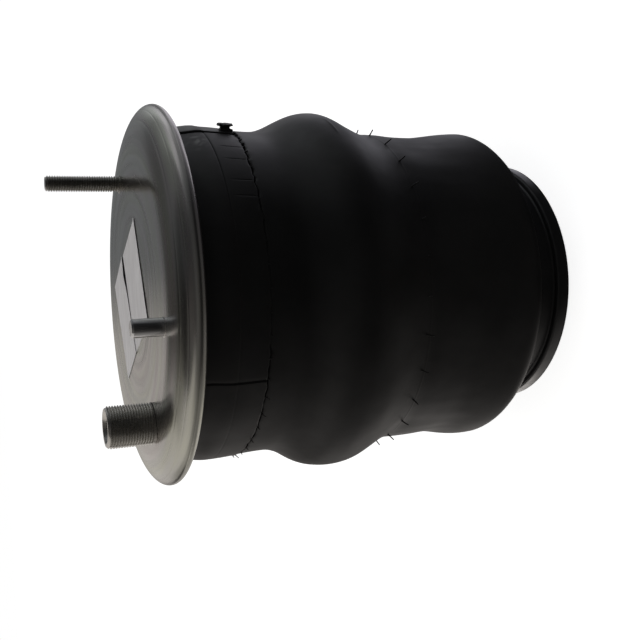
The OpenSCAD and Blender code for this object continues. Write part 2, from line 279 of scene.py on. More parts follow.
class Finish(Nodes):
    """A material of the object, with its texture coordinates in the object's own space."""

    def __init__(self, name, colour, roughness, metallic=0.0):
        self.material = bpy.data.materials.new(name)
        super().__init__(self.material, keep=True)
        self.shader = self.tree.nodes["Principled BSDF"]
        self.shader.inputs["Base Color"].default_value = (*colour, 1)
        self.shader.inputs["Roughness"].default_value = roughness
        self.shader.inputs["Metallic"].default_value = metallic
        self.place = self.tree.nodes.new("ShaderNodeTexCoord").outputs["Object"]
        self.height = None

    def feed(self, value, socket):
        self.link(value, self.shader.inputs[socket])

    def noise(self, scale, detail, stretch=(1, 1, 1)):
        mapping = self.node("ShaderNodeMapping")
        mapping.inputs["Scale"].default_value = stretch
        self.link(self.place, mapping.inputs["Vector"])
        made = self.node("ShaderNodeTexNoise", Scale=scale, Detail=detail)
        self.link(mapping.outputs["Vector"], made.inputs["Vector"])
        return made.outputs["Fac"]

    def two_tone(self, value, dark, light):
        return self.ramp(value, [(0.3, dark), (0.7, light)])

    def blend(self, a, b, factor, kind="MIX"):
        made = self.node("ShaderNodeMix", data_type="RGBA", blend_type=kind)
        self.link(a, made.inputs["A"])
        self.link(b, made.inputs["B"])
        made.inputs["Factor"].default_value = factor
        return made.outputs["Result"]

    def bump(self, value, strength, distance):
        made = self.node("ShaderNodeBump", Strength=strength, Distance=distance)
        self.link(value, made.inputs["Height"])
        if self.height is not None:
            self.link(self.height, made.inputs["Normal"])
        self.height = made.outputs["Normal"]
        self.feed(self.height, "Normal")

    def turned_noise(self, scale, detail, drift=0.06):
        """Noise that follows the distance from the axis and changes slowly round it."""
        split = self.node("ShaderNodeSeparateXYZ")
        flat = self.node("ShaderNodeVectorMath", operation="MULTIPLY")
        flat.inputs[1].default_value = (1, 1, 0)
        length = self.node("ShaderNodeVectorMath", operation="LENGTH")
        slow = self.node("ShaderNodeVectorMath", operation="SCALE")
        slow.inputs["Scale"].default_value = drift
        place = self.node("ShaderNodeCombineXYZ")
        made = self.node("ShaderNodeTexNoise", Scale=scale, Detail=detail)
        self.link(self.place, flat.inputs[0])
        self.link(flat.outputs["Vector"], length.inputs[0])
        self.link(self.place, slow.inputs[0])
        self.link(slow.outputs["Vector"], split.inputs["Vector"])
        self.link(length.outputs["Value"], place.inputs["X"])
        self.link(split.outputs["X"], place.inputs["Y"])
        self.link(split.outputs["Y"], place.inputs["Z"])
        self.link(place.outputs["Vector"], made.inputs["Vector"])
        return made.outputs["Fac"]

    def stored(self, name):
        return self.node("ShaderNodeAttribute", attribute_name=name).outputs["Fac"]

    def scaled(self, value, other):
        made = self.node("ShaderNodeMath", operation="MULTIPLY")
        self.link(value, made.inputs[0])
        self.link(other, made.inputs[1])
        return made.outputs["Value"]


def zinc_sheet():
    """Zinc plated and clear passivated pressing: faint rings of colour and fine drawing marks."""
    f = Finish("zinc_sheet", (0.46, 0.45, 0.43), 0.28, 1.0)
    tints = f.ramp(f.turned_noise(75, 4), [(0.30, (0.42, 0.455, 0.455)), (0.41, (0.475, 0.48, 0.40)),
                                           (0.50, (0.455, 0.455, 0.43)), (0.58, (0.485, 0.445, 0.44)),
                                           (0.66, (0.47, 0.475, 0.41))])
    wide = f.two_tone(f.noise(8, 2), (0.43, 0.425, 0.41), (0.48, 0.475, 0.43))
    f.feed(f.blend(tints, wide, 0.3), "Base Color")
    f.feed(f.spread(f.turned_noise(260, 4), 0.21, 0.28), "Roughness")
    f.bump(f.turned_noise(500, 4, 0.02), 0.3, 0.00006)
    f.bump(f.noise(900, 3), 0.05, 0.00004)
    return f.material


def zinc_thread(name, tone):
    """Zinc plated machined steel, a little yellow."""
    f = Finish(name, (tone, tone * 0.98, tone * 0.92), 0.26, 1.0)
    dark = (tone * 0.92, tone * 0.90, tone * 0.84)
    light = (tone * 1.06, tone * 1.04, tone * 0.98)
    f.feed(f.two_tone(f.noise(120, 3), dark, light), "Base Color")
    f.feed(f.spread(f.noise(300, 4), 0.22, 0.3), "Roughness")
    return f.material


def steel(name, tone, roughness):
    """Bare steel with fine marks along the axis."""
    f = Finish(name, (tone, tone, tone * 0.98), roughness, 1.0)
    f.feed(f.two_tone(f.noise(120, 5, (1, 1, 0.15)), (tone * 0.8,) * 3, (tone * 1.1,) * 3), "Base Color")
    f.feed(f.spread(f.noise(500, 4, (1, 1, 0.1)), roughness * 0.75, roughness * 1.3), "Roughness")
    f.bump(f.noise(1800, 2, (1, 1, 0.05)), 0.08, 0.00003)
    return f.material


def rubber(name, tone, roughness):
    """Matte moulded rubber with a fine grain, faint rubbed patches, pale worn places, a painted highlight
    along the fold line, and painted shade in the grooves, where the gloss is taken away.
    """
    f = Finish(name, (tone, tone, tone), roughness)
    dark = (tone * 0.8, tone * 0.8, tone * 0.85)
    light = (tone * 1.3, tone * 1.25, tone * 1.2)
    skin = f.two_tone(f.noise(14, 4), dark, light)
    # Pale paint: worn scuffs, and a painted highlight along the fold line.
    pale = f.ramp(f.stored("wear_and_painted_highlight"), [(0.0, (0, 0, 0)), (1.0, (0.27, 0.27, 0.265))])
    f.feed(f.blend(skin, pale, 1.0, "ADD"), "Base Color")
    # Painted shade: the specular gloss is taken away in the grooves, along the lap line and at the seat by
    # the plate's lip.
    gloss_outside_shade = f.ramp(f.stored("hollow"), [(0.1, (1, 1, 1)), (0.6, (0, 0, 0))])
    f.feed(f.scaled(f.spread(f.noise(35, 6), 0.3, 0.42), gloss_outside_shade), "Specular IOR Level")
    f.feed(f.spread(f.noise(20, 5), roughness - 0.05, roughness + 0.07), "Roughness")
    f.bump(f.noise(70, 4, (1, 1, 0.35)), 0.18, 0.0004)
    f.bump(f.noise(1400, 3), 0.25, 0.00006)
    return f.material


def moulding():
    """Glass filled black moulding of the piston."""
    f = Finish("moulding", (0.006, 0.006, 0.0065), 0.40)
    f.feed(f.two_tone(f.noise(30, 4), (0.004, 0.004, 0.0045), (0.008, 0.008, 0.0085)), "Base Color")
    f.feed(f.spread(f.noise(80, 5), 0.36, 0.5), "Roughness")
    f.bump(f.noise(1100, 3), 0.2, 0.00005)
    return f.material


def label_paper():
    """Plain white paper with a faint fibre."""
    f = Finish("label_paper", (0.70, 0.68, 0.68), 0.45)
    f.feed(f.two_tone(f.noise(40, 5, (1, 6, 1)), (0.63, 0.61, 0.61), (0.75, 0.73, 0.73)), "Base Color")
    f.feed(f.spread(f.noise(200, 4), 0.38, 0.55), "Roughness")
    f.bump(f.noise(900, 4), 0.15, 0.00005)
    return f.material


# Pieces on the plate

def dome_share(r):
    """Angle along the shoulder's ellipse at which it reaches the radius r, in degrees."""
    return math.degrees(math.asin((r - FLAT_R) / (PLATE_R - FLAT_R)))


def shoulder_profile():
    """Shoulder of the plate, from the flat face to the widest circle, with two fine ring marks."""
    wide, high = PLATE_R - FLAT_R, PLATE_Z - RIM_Z
    depth = 0.05 * MM
    profile = []
    start = 0
    for mark in RING_MARKS:
        share = dome_share(mark)
        profile += quarter(FLAT_R, RIM_Z, wide, high, start, share - 1, 10)
        profile += quarter(FLAT_R, RIM_Z, wide - depth, high - depth, share - 0.4, share + 0.4, 1)
        start = share + 1
    return profile + quarter(FLAT_R, RIM_Z, wide, high, start, 90, 10)


def bead_plate(material):
    curl_x = PLATE_R - CURL_R
    lip_z = RIM_Z - CURL_R
    profile = [(0, PLATE_Z), (FLAT_R * 0.5, PLATE_Z), (FLAT_R * 0.97, PLATE_Z)]
    profile += shoulder_profile()
    profile += arc(curl_x, RIM_Z, CURL_R, 0, -90, 10)[1:]
    profile += arc(LIP_R + PLATE_T / 2, lip_z + PLATE_T / 2, PLATE_T / 2, -90, -270, 8)
    profile += arc(curl_x, RIM_Z, CURL_R - PLATE_T, -90, 0, 6)
    profile += quarter(FLAT_R, RIM_Z, PLATE_R - FLAT_R - PLATE_T, UNDER_Z - RIM_Z, 90, 0, 16)[1:]
    profile += [(0, UNDER_Z)]
    plate = lathe("bead_plate_dressed", profile, material, 256, closed=False, sharp=40)
    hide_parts("bead_plate")
    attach(plate, "plate_body")


def combination_stud(material):
    middle, low, high = centre_of("combination_stud")
    columns = 72
    r, depth, edge = 12 * MM, 0.92 * MM, 1.3 * MM
    head_r, head_t = 13.4 * MM, 4 * MM
    bore_r, bore_cut, mouth = 7.2 * MM, -0.7 * MM, 1.8 * MM
    thread_end, plain_bore = high.z - 15.5 * MM, high.z - 16 * MM
    rows = [ring_row(bore_r, low.z, columns), ring_row(bore_r, plain_bore, columns)]
    rows += reversed(helix_rows(bore_r, bore_cut, high.z - mouth, thread_end, columns))
    rows += [ring_row(bore_r, high.z - mouth, columns), ring_row(bore_r + mouth, high.z, columns)]
    rows += [ring_row(r - edge, high.z, columns)]
    rows += helix_rows(r, depth, high.z, PLATE_Z, columns, edge)
    rows += [ring_row(r - depth, PLATE_Z, columns), ring_row(r - depth, low.z + head_t, columns)]
    rows += [ring_row(head_r, low.z + head_t, columns), ring_row(head_r, low.z, columns)]
    stud = grid_object("combination_stud_threaded", rows, material, True, 30, middle.xy)
    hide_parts("combination_stud")
    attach(stud, "plate_body")


def mounting_stud(material):
    middle, low, high = centre_of("mounting_stud")
    columns = 48
    r, depth, edge = 5 * MM, 0.9 * MM, 1.1 * MM
    head_r, head_t = 9 * MM, 4 * MM
    thread_end = PLATE_Z + 0.8 * MM
    rows = [ring_row(0, high.z, columns), ring_row(r - edge, high.z, columns)]
    rows += helix_rows(r, depth, high.z, thread_end, columns, edge)
    rows += [ring_row(r - depth, thread_end, columns), ring_row(r - depth, low.z + head_t, columns)]
    rows += [ring_row(head_r, low.z + head_t, columns), ring_row(head_r, low.z, columns)]
    rows += [ring_row(0, low.z, columns)]
    stud = grid_object("mounting_stud_threaded", rows, material, False, 30, middle.xy)
    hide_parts("mounting_stud")
    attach(stud, "plate_body")


def weld_fillet(name, node, inner, wide, high, material):
    """Low uneven bead of weld at the foot of a stud, from the radius inner outward."""
    middle = centre_of(node)[0]
    columns = 64
    rows = []
    for share, lift in ((0, -0.2), (0, 1), (0.35, 0.75), (0.7, 0.35), (1, 0.02), (1, -0.2)):
        row = []
        for i in range(columns + 1):
            a = TURN * i / columns
            uneven = 1 + 0.22 * round_noise(a, 3, share)
            r = inner + wide * share * uneven
            row.append((r * math.cos(a), r * math.sin(a), PLATE_Z + high * lift * uneven))
        row[-1] = row[0]
        rows.append(row)
    weld = grid_object(name, rows, material, True, 50, middle.xy)
    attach(weld, "plate_body")


def sticker(name, corner, direction, length, width, lift, layer, material):
    """Plain label on the plate's face at the height layer, with part of one long edge lifted."""
    along = heading(direction)
    across = Vector((-along.y, along.x, 0))
    steps, lanes = 40, 24
    thick = 0.12 * MM

    def point(i, j, top):
        s, t = i / steps, j / lanes
        lifted = lift * bell(s - 0.22, 0.11) * (1 - smooth(0, 0.28, t))
        rise = lifted + 0.35 * MM * (1 - smooth(0, 0.10, t))
        z = PLATE_Z + layer + rise + (thick if top else 0)
        p = corner + along * (length * s) + across * (width * t)
        return (p.x, p.y, z)

    mesh = bmesh.new()
    tops = [[mesh.verts.new(point(i, j, True)) for j in range(lanes + 1)] for i in range(steps + 1)]
    lows = [[mesh.verts.new(point(i, j, False)) for j in range(lanes + 1)] for i in range(steps + 1)]
    for i in range(steps):
        for j in range(lanes):
            mesh.faces.new((tops[i][j], tops[i + 1][j], tops[i + 1][j + 1], tops[i][j + 1]))
            mesh.faces.new((lows[i][j], lows[i][j + 1], lows[i + 1][j + 1], lows[i + 1][j]))
    for i in range(steps):
        mesh.faces.new((tops[i][0], lows[i][0], lows[i + 1][0], tops[i + 1][0]))
        mesh.faces.new((tops[i][lanes], tops[i + 1][lanes], lows[i + 1][lanes], lows[i][lanes]))
    for j in range(lanes):
        mesh.faces.new((tops[0][j], tops[0][j + 1], lows[0][j + 1], lows[0][j]))
        mesh.faces.new((tops[steps][j], lows[steps][j], lows[steps][j + 1], tops[steps][j + 1]))
    bmesh.ops.recalc_face_normals(mesh, faces=mesh.faces)
    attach(finish_mesh(name, mesh, material, 40), "plate_body")


# Bellows

def station_radius(z):
    """Outer radius of the plain round sleeve, which swings smoothly from station to station."""
    for (high, r_high), (low, r_low) in zip(STATIONS, STATIONS[1:]):
        if z >= low:
            break
    t = min(max((high - z) / (high - low), 0), 1)
    return r_high + (r_low - r_high) * (1 - math.cos(math.pi * t)) / 2


def sagged_radius(angle, z):
    """Radius of the relaxed sleeve: the bulge sits higher on the +X side and is wider on the -X side."""
    lean = math.cos(rad(angle))
    lower = smooth(0.075, 0.095, z) * (1 - smooth(0.132, 0.150, z))
    upper = smooth(0.147, 0.158, z) * (1 - smooth(0.160, 0.174, z))
    waist = 0.9 * max(0, lean) * bell(z - 0.104, 0.010)
    swell = 0.7 * (lean + 0.3) * bell(z - 0.140, 0.014) + 0.8 * max(0, -lean) * bell(z - 0.070, 0.010)
    shifted = z - lower * (3.8 * lean + 0.2) * MM - upper * 1.2 * (1 - lean) * MM
    return station_radius(shifted) + (waist - swell) * MM


def sway(z):
    """Sideways lean of the lower swell, along X."""
    return -0.6 * MM * smooth(0.033, 0.050, z) * (1 - smooth(0.095, 0.115, z))


def seam_wander(angle):
    """Height of the cuff's lower edge against its mean: it dips at the upper splice, and wavers."""
    slow = round_noise(rad(angle), 3, 1.7)
    quick = round_noise(rad(angle), 22, 4.1)
    dip = bell(turned_degrees(angle, TOP_SPLICE), 18)
    return (0.5 * slow + 0.9 * quick - 3 * dip) * MM


def on_cuff(level):
    """1 on the cuff above the seam and 0 below it."""
    return smooth(SEAM_Z, SEAM_Z + 1 * MM, level)


def groove_depth(angle, level):
    """How deep a point lies in the seam or in a splice line, from 0 to 1."""
    above = level - SEAM_Z
    ragged = 1 + 1.1 * round_noise(rad(angle), 24, 2.2)
    ragged *= 1 + 1.3 * smooth(-62, -30, angle) * (1 - smooth(-20, 0, angle))
    faint = 1 - 0.7 * bell(turned_degrees(angle, -90), 30)
    seam = faint * bell(above + 0.3 * MM * ragged, 0.5 * MM * max(0.3, ragged))
    strength = 0.6 + 0.4 * bell(level - 0.2165, 3 * MM)
    lines = strength * bell(turned_degrees(angle, TOP_SPLICE) + 0.3, 0.36)
    lines += 0.4 * bell(turned_degrees(LOW_SPLICE, angle) + 0.3, 0.25)
    return min(1, seam + on_cuff(level) * lines)


def surface_offset(angle, z, level):
    """How far the rubber stands off its round shape. level is its height before the seam's wander."""
    ring = heading(angle)
    cuff = on_cuff(level)

    # Slow waves of the whole skin and of the lower swell
    off = 0.35 * MM * noise.noise(ring * 1.8 + Vector((0, 0, z * 22)))
    lobe = smooth(0.055, 0.075, z) * (1 - smooth(0.1, 0.118, z))
    off += 0.22 * MM * lobe * noise.noise(ring * 11 + Vector((0, 0, z * 14)))

    # The cuff's step, the seam with its burrs, and the lines that run round
    off += 0.3 * MM * smooth(-0.3 * MM, 0.5 * MM, level - SEAM_Z)
    off -= 0.75 * MM * groove_depth(angle, level)
    burr = max(0, noise.noise(ring * 26 + Vector((5, 0, 0))) - 0.15)
    off += 1.3 * MM * burr * bell(level - SEAM_Z - 0.9 * MM, 0.5 * MM)
    lap = 0.35 + 0.65 * bell(turned_degrees(angle, WORN_AND_HIGHLIGHT_SIDE), 22)
    off -= 0.28 * MM * bell(level - LAP_Z, 0.5 * MM) * lap
    off += 0.1 * MM * bell(level - NIB_Z, 0.5 * MM)
    streak = smooth(-39, -35, angle) * (1 - smooth(-28, -24, angle))
    off += 0.45 * MM * streak * bell(level - STREAK_Z, 0.9 * MM)

    # Raised strips beside both splices, and the scores down the cuff
    past_top = turned_degrees(angle, TOP_SPLICE)
    strip = smooth(-0.15, 0.15, past_top) * (1 - smooth(8, 38, past_top))
    thick = 0.5 + 0.45 * smooth(0.2185, 0.2205, z + 0.0012 * noise.noise(ring * 9))
    off += thick * MM * cuff * strip
    past_low = turned_degrees(LOW_SPLICE, angle)
    off += 0.4 * MM * cuff * smooth(-0.15, 0.15, past_low) * (1 - smooth(6, 30, past_low))
    scored = smooth(SEAM_Z + 0.5 * MM, SEAM_Z + 2 * MM, level) * (1 - smooth(0.214, 0.217, level))
    for score in SCORES:
        off -= 0.2 * MM * scored * bell(turned_degrees(angle, score), 0.13)
    return off


def column_angles():
    """Directions of the sleeve's columns in degrees: even ones, and more at the lines down the cuff."""
    count = 288
    angles = {round(-180 + 360 / count * i, 3) for i in range(count)}
    for line in (TOP_SPLICE, LOW_SPLICE):
        angles |= {round(line + step, 3) for step in (-0.9, -0.6, -0.3, -0.15, 0.0, 0.15, 0.3, 0.6)}
    for line in SCORES:
        angles |= {round(line + step, 3) for step in (-0.25, -0.12, 0.0, 0.12, 0.25)}
    ordered = sorted(angles)
    return ordered + [ordered[0] + 360]


def row_levels():
    """Heights of the sleeve's rows: even ones, and more at the lines that run round it."""
    count = 130
    levels = {round(NECK_TOP - (NECK_TOP - FOLD_Z) * i / count, 6) for i in range(count + 1)}
    for line in (SEAM_Z, LAP_Z, NIB_Z, STREAK_Z):
        levels |= {round(line + step * MM, 6) for step in (-1.2, -0.8, -0.4, 0, 0.4, 0.8, 1.2)}
    return sorted(levels, reverse=True)


def sleeve_point(angle, level):
    near_seam = bell(level - SEAM_Z, SEAM_REACH)
    z = level + seam_wander(angle) * near_seam
    r = sagged_radius(angle, z) + surface_offset(angle, z, level)
    return (r * math.cos(rad(angle)) + sway(z), r * math.sin(rad(angle)), z)


def round_rows(profile, angles):
    """Plain round rows of the sleeve, one at each (radius, height) of the profile."""
    return [[(r * math.cos(rad(a)) + sway(z), r * math.sin(rad(a)), z) for a in angles]
            for r, z in profile]


def scuffs(angle, z):
    """How chalky the skin is: along the raised strip of the cuff, and in small marks near the plate."""
    around = heading(angle)
    past_top = turned_degrees(angle, TOP_SPLICE)
    strip = smooth(0, 1, past_top) * (1 - smooth(14, 34, past_top)) * smooth(SEAM_Z, SEAM_Z + 3 * MM, z)
    marks = bell(turned_degrees(angle, -32), 5) * bell(z - 0.2275, 5 * MM)
    patches = 0.5 + noise.noise(around * 30 + Vector((0, 0, z * 160)))
    dabs = max(0, noise.noise(around * 55 + Vector((0, 0, z * 420))) - 0.05)
    return max(0, 1.2 * strip * patches + 3.5 * marks * dabs)


def mark_hollows(sleeve):
    """Stores on each point the painted shade of the grooves, the lap line and the seat at the plate's lip,
    and how pale it is painted: worn scuffs, and a painted highlight along the fold line, for the rubber's
    material.
    """
    hollow = sleeve.data.attributes.new("hollow", "FLOAT", "POINT")
    wear_and_painted_highlight = sleeve.data.attributes.new("wear_and_painted_highlight", "FLOAT", "POINT")
    line_z = FOLD_Z + FOLD_LINE_R * math.sin(rad(FOLD_LINE))
    for vertex, entry, paleness in zip(sleeve.data.vertices, hollow.data, wear_and_painted_highlight.data):
        x, y, z = vertex.co
        r = math.hypot(x, y)
        angle = math.degrees(math.atan2(y, x))
        side_turn = turned_degrees(angle, WORN_AND_HIGHLIGHT_SIDE)
        # Painted highlight: a pale line along the ridge of the fold, brightest on the worn side.
        if abs(z - line_z) < 0.03 * MM and r > FOLD_X + FOLD_TURN / 2:
            paleness.value = 0.35 + 0.65 * bell(side_turn, 34)
        # Painted shade in the seam, the splice lines, the lap line and the seat at the plate's lip, and
        # pale worn scuffs.
        if r > station_radius(z) - WALL / 2 and FOLD_Z < z < NECK_TOP:
            lip_shade = smooth(*LIP_SHADE_Z, z)
            lap = 0.6 * bell(z - LAP_Z, 0.5 * MM) * bell(side_turn, 30)
            level = z - seam_wander(angle) * bell(z - SEAM_Z, SEAM_REACH)
            entry.value = max(lip_shade, lap, groove_depth(angle, level))
            paleness.value += 0.24 * scuffs(angle, z)


def bellows_outer(material):
    """Cuff, swells and the outer half of the rolled fold, from the bead in the plate down."""
    angles = column_angles()
    gap = 0.3 * MM
    bead_x = PLATE_R - CURL_R - 0.8 * MM
    lip_top = RIM_Z - CURL_R + PLATE_T + gap
    top = quarter(FLAT_R, RIM_Z, PLATE_R - FLAT_R - PLATE_T - gap, UNDER_Z - RIM_Z - gap, 22, 66, 6)
    top += [(bead_x, RIM_Z + gap), (bead_x - 1.7 * MM, lip_top), (101 * MM, lip_top),
            (NECK_R, lip_top - 0.7 * MM), (NECK_R, RIM_Z - 3.1 * MM), (98.8 * MM, NECK_TOP + 1.5 * MM)]
    fold = arc(FOLD_X, FOLD_Z, FOLD_TURN, -8, FOLD_LINE + 2.2, 6)
    fold += arc(FOLD_X, FOLD_Z, FOLD_LINE_R, FOLD_LINE + 1, FOLD_LINE - 1, 2)
    fold += arc(FOLD_X, FOLD_Z, FOLD_TURN, FOLD_LINE - 2.2, -90, 6)
    fold += arc(FOLD_X, FOLD_Z, FOLD_TURN - WALL, -90, 0, 6)
    inside_levels = [FOLD_Z + (NECK_TOP - FOLD_Z) * i / 40 for i in range(1, 41)]
    inside = [(station_radius(z) - WALL, z) for z in inside_levels] + [(NECK_R - WALL, lip_top)]
    rows = round_rows(top, angles)
    rows += [[sleeve_point(a, level) for a in angles] for level in row_levels()]
    rows += round_rows(fold + inside, angles)
    outer = grid_object("bellows_sleeve", rows, material, True, 40)
    mark_hollows(outer)
    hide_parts("bellows")
    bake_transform(outer)


def bellows_inner(material):
    """Inner half of the fold, and the leg up the piston's wall to the clamped bead."""
    profile = arc(FOLD_X, FOLD_Z, FOLD_TURN, -90, -180, 10)
    profile += arc(SHOULDER_X, SHOULDER_Z, SHOULDER_R, 0, 90, 8)
    profile += [(BEAD_X, SHOULDER_Z + SHOULDER_R), (BEAD_X, BEAD_TOP), (SHOULDER_X, BEAD_TOP)]
    profile += arc(SHOULDER_X, SHOULDER_Z, SHOULDER_R + WALL, 75, 0, 8)
    profile += arc(FOLD_X, FOLD_Z, FOLD_TURN - WALL, -180, -90, 8)
    leg = []
    for (r, z), (r_next, z_next) in zip(profile, profile[1:] + profile[:1]):
        pieces = max(1, int(abs(z_next - z) / (4 * MM)))
        leg += [(r + (r_next - r) * k / pieces, z + (z_next - z) * k / pieces) for k in range(pieces)]
    inner = lathe("bellows_leg", leg, material, sharp=40)
    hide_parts("bellows")
    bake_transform(inner)


def nib(mesh, base, outward, length, radius, bend):
    """Thin tapered whisker of rubber that stands on the skin."""
    side = outward.cross(Vector((0, 0, 1))).normalized()
    other = outward.cross(side).normalized()
    sides = 8
    spokes = [side * math.cos(TURN * i / sides) + other * math.sin(TURN * i / sides) for i in range(sides)]
    lean = side * bend.x + other * bend.y
    rings = []
    for share, wide in ((-0.15, 1.5), (0.08, 1.0), (0.5, 0.8), (0.92, 0.75), (1.0, 0.35)):
        middle = base + outward * (length * share) + lean * share * share * length
        rings.append([mesh.verts.new(middle + spoke * radius * wide) for spoke in spokes])
    for lower, upper in zip(rings, rings[1:]):
        for i in range(sides):
            mesh.faces.new((lower[i], lower[(i + 1) % sides], upper[(i + 1) % sides], upper[i]))
    mesh.faces.new(rings[-1])
    mesh.faces.new(reversed(rings[0]))


def whiskers(name, places, material):
    """One piece with every whisker of a ring. places holds (angle, height, length, radius, tilt)."""
    mesh = bmesh.new()
    for angle, z, length, radius, tilt in places:
        base = Vector(sleeve_point(angle, z))
        outward = heading(angle) * math.cos(rad(tilt)) - Vector((0, 0, 1)) * math.sin(rad(tilt))
        bend = Vector((random.uniform(-0.12, 0.12), random.uniform(-0.12, 0.12)))
        nib(mesh, base, outward.normalized(), length, radius, bend)
    bmesh.ops.recalc_face_normals(mesh, faces=mesh.faces)
    made = finish_mesh(name, mesh, material, 60)
    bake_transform(made)


def vent_nibs(material):
    """Ring of whiskers round the waist, with a few short ones in front."""
    count = 28
    first = -107.2
    places = []
    for i in range(count):
        angle = turned_degrees(first + 360 * i / count, 0)
        shorter = abs(turned_degrees(angle, -81)) <= 20
        long = random.uniform(1.6, 2.8) if shorter else random.uniform(4.2, 5.6)
        raised = 2.4 * bell(turned_degrees(angle, -112), 26) + random.uniform(-0.5, 0.5)
        places.append((angle, NIB_Z + raised * MM, long * MM, 0.5 * MM, random.uniform(25, 42)))
    whiskers("vent_nibs", places, material)


def seam_flash(material):
    """Torn slivers along the lower edge of the cuff, longer at -X and thicker at the upper splice."""
    count = 50
    first, step = -125.9, 7.2
    places = []
    for i in range(count):
        angle = turned_degrees(first - step * i, 0)
        low_side = smooth(0.2, 0.75, -math.cos(rad(angle)))
        long = (1.2 + 2.4 * low_side) * random.uniform(0.6, 1.15)
        z = SEAM_Z + random.uniform(-0.8, 0.4) * MM
        places.append((angle, z, long * MM, 0.34 * MM, random.uniform(10, 55)))
    hanging = ((-27.5, 1.6, 0.9), (-29.5, 1.4, 0.8), (-33, 1.9, 0.6), (-35.5, 1.2, 0.6),
               (-39, 1.7, 0.6), (-43, 1.4, 0.5), (-47.5, 1.0, 0.5))
    for angle, long, radius in hanging:
        places.append((angle, SEAM_Z - 0.5 * MM, long * MM, radius * MM, 64))
    for angle, z in ((-22, 0.2052), (-23.5, 0.2042), (-25, 0.2034), (-23, 0.2030)):
        places.append((angle, z, 1.7 * MM, 1.1 * MM, 20))
    whiskers("seam_flash", places, material)


def flash_lump(material):
    """Lump of flash left at the seam by the upper splice: a stem under an uneven flat cap."""
    angle = -21
    z = 0.2078
    columns = 28
    profile = [(5.0, -1.8), (4.2, -0.2), (3.0, 0.8), (2.6, 1.9), (3.1, 2.6),
               (4.3, 2.9), (4.7, 3.4), (4.4, 4.0), (2.6, 4.2), (0, 4.2)]
    rows = []
    for r, lift in profile:
        row = []
        for i in range(columns + 1):
            a = TURN * i / columns
            uneven = 1 + 0.5 * round_noise(a, 2.6, lift * 0.9)
            row.append((r * uneven * math.cos(a) * MM, 0.8 * r * uneven * math.sin(a) * MM,
                        (lift + 0.25 * (uneven - 1)) * MM))
        row[-1] = row[0]
        rows.append(row)
    lump = grid_object("flash_lump", rows, material, False, 50)
    around = heading(angle)
    up = Vector((0, 0, 1))
    side = around.cross(up)
    stand = Matrix((up, side, around)).transposed().to_4x4()
    stand.translation = Vector(sleeve_point(angle, z))
    lump.data.transform(stand)
    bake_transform(lump)


# Nodes that keep their own shape

def dress_nodes(finishes):
    """Gives nodes of the frame their materials. finishes holds (names, material)."""
    for names, material in finishes:
        for name in names:
            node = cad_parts[name]
            node.data.shade_smooth()
            node.data.set_sharp_from_angle(angle=rad(28))
            for place in node.material_slots:
                place.material = material


# Stage

def surround_glow(name, stops):
    """Card material whose brightness follows the direction round the object."""
    material = bpy.data.materials.new(name)
    made = Nodes(material)
    place = made.node("ShaderNodeTexCoord")
    split = made.node("ShaderNodeSeparateXYZ")
    turn = made.node("ShaderNodeMath", operation="ARCTAN2")
    glow = made.node("ShaderNodeEmission")
    out = made.node("ShaderNodeOutputMaterial")
    made.link(place.outputs["Object"], split.inputs["Vector"])
    made.link(split.outputs["Y"], turn.inputs[0])
    made.link(split.outputs["X"], turn.inputs[1])
    share = made.spread(turn.outputs["Value"], 0, 1, -math.pi, math.pi)
    made.link(made.ramp(share, stops), glow.inputs["Color"])
    made.link(glow.outputs["Emission"], out.inputs["Surface"])
    return material


def surround_card(name, start, end, cool, tones):
    """Turned card round the object that only reflections see.

    tones holds (degrees, grey), which get the tint cool on the +X side and WARM on the -X side.
    """
    stops = []
    for degrees, grey in tones:
        tint = cool if -90 < degrees < 90 else WARM
        stops.append(((degrees + 180) / 360, [grey * part for part in tint]))
    card = lathe(name, [start, end], surround_glow(name, stops), 64, closed=False)
    card.visible_camera = False
    card.visible_diffuse = False
    card.visible_shadow = False


def floor():
    """Pale floor, lit evenly to the camera, with the object's shadow on it."""
    half = 9
    steps = 12
    places = [-half + 2 * half * i / steps for i in range(steps + 1)]
    mesh = bmesh.new()
    corners = [[mesh.verts.new((x, y, 0)) for y in places] for x in places]
    for i in range(steps):
        for j in range(steps):
            mesh.faces.new((corners[i][j], corners[i + 1][j], corners[i + 1][j + 1], corners[i][j + 1]))
    material = bpy.data.materials.new("floor")
    made = Nodes(material)
    path = made.node("ShaderNodeLightPath")
    seen = made.node("ShaderNodeMix", data_type="RGBA", A=(0.22, 0.22, 0.22, 1), B=(0.5, 0.5, 0.5, 1))
    skin = made.node("ShaderNodeBsdfDiffuse")
    level = made.node("ShaderNodeMath", operation="MULTIPLY")
    level.inputs[1].default_value = 0.82
    glow = made.node("ShaderNodeEmission")
    both = made.node("ShaderNodeAddShader")
    out = made.node("ShaderNodeOutputMaterial")
    made.link(path.outputs["Is Camera Ray"], seen.inputs["Factor"])
    made.link(seen.outputs["Result"], skin.inputs["Color"])
    made.link(path.outputs["Is Camera Ray"], level.inputs[0])
    made.link(level.outputs["Value"], glow.inputs["Strength"])
    made.link(skin.outputs["BSDF"], both.inputs[0])
    made.link(glow.outputs["Emission"], both.inputs[1])
    made.link(both.outputs["Shader"], out.inputs["Surface"])
    finish_mesh("floor", mesh, material)


